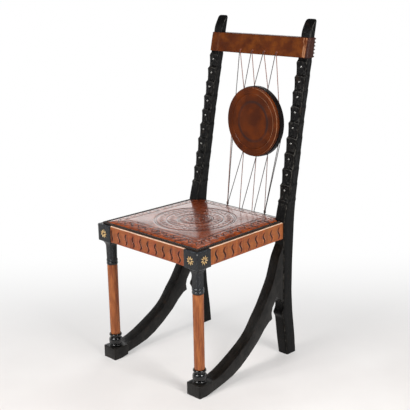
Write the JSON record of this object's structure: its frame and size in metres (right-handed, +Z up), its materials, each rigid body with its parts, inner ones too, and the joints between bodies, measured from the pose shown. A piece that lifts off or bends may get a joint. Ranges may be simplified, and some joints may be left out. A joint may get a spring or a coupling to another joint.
{
  "type": "chair",
  "caption": "Black and tan wooden side chair with a leather disc laced in its back, scale-carved raking posts, curved side braces and a nailed leather seat.",
  "frame": {"origin": "on the floor, under the middle of the chair's bounding box", "axes": "+Z up, +X to the chair's right seen from in front, -Y towards the front of the seat"},
  "size_m": [0.4536, 0.558, 1.083],
  "materials": {
    "black_wood": "satin",
    "tan_wood": "satin",
    "inner_wood": "rough",
    "leather": "satin",
    "seat_leather": "polished",
    "black_leather": "matte",
    "pale_inlay": "satin",
    "pewter": "satin",
    "cord": "matte"
  },
  "bodies": {
    "frame": {"rear_post_left": "black_wood", "brace_left": "black_wood", "corner_block_left": "black_wood", "column_left": "tan_wood", "bulb_left": "black_wood", "side_rail_left": "tan_wood", "seat_ledger_left": "inner_wood", "crest_lace_left": "leather", "star_front_left": "pale_inlay", "star_outer_left": "pale_inlay", "corner_pin_left": "pewter", "stud_left_1": "pewter", "stud_left_2": "pewter", "stud_left_3": "pewter", "stud_left_4": "pewter", "stud_left_5": "pewter", "stud_left_6": "pewter", "stud_left_7": "pewter", "stud_left_8": "pewter", "stud_left_9": "pewter", "rear_post_right": "black_wood", "brace_right": "black_wood", "corner_block_right": "black_wood", "column_right": "tan_wood", "bulb_right": "black_wood", "side_rail_right": "tan_wood", "seat_ledger_right": "inner_wood", "crest_lace_right": "leather", "star_front_right": "pale_inlay", "star_outer_right": "pale_inlay", "corner_pin_right": "pewter", "stud_right_1": "pewter", "stud_right_2": "pewter", "stud_right_3": "pewter", "stud_right_4": "pewter", "stud_right_5": "pewter", "stud_right_6": "pewter", "stud_right_7": "pewter", "stud_right_8": "pewter", "stud_right_9": "pewter", "front_rail": "tan_wood", "rear_rail": "black_wood", "seat_board": "inner_wood", "seat_pad": "seat_leather", "seat_band": "black_leather", "crest_board": "inner_wood", "crest_leather": "leather", "upper_cord": "cord", "lower_cord": "cord"},
    "disc": {"disc_leather": "leather", "disc_plate": "black_wood"}
  },
  "joints": [
    {"name": "disc_give", "type": "slide", "parent": "frame", "child": "disc", "axis": [0.0384, 0.9988, -0.03], "range_m": [-0.008, 0.012], "stiffness_N_per_m": 3000}
  ]
}
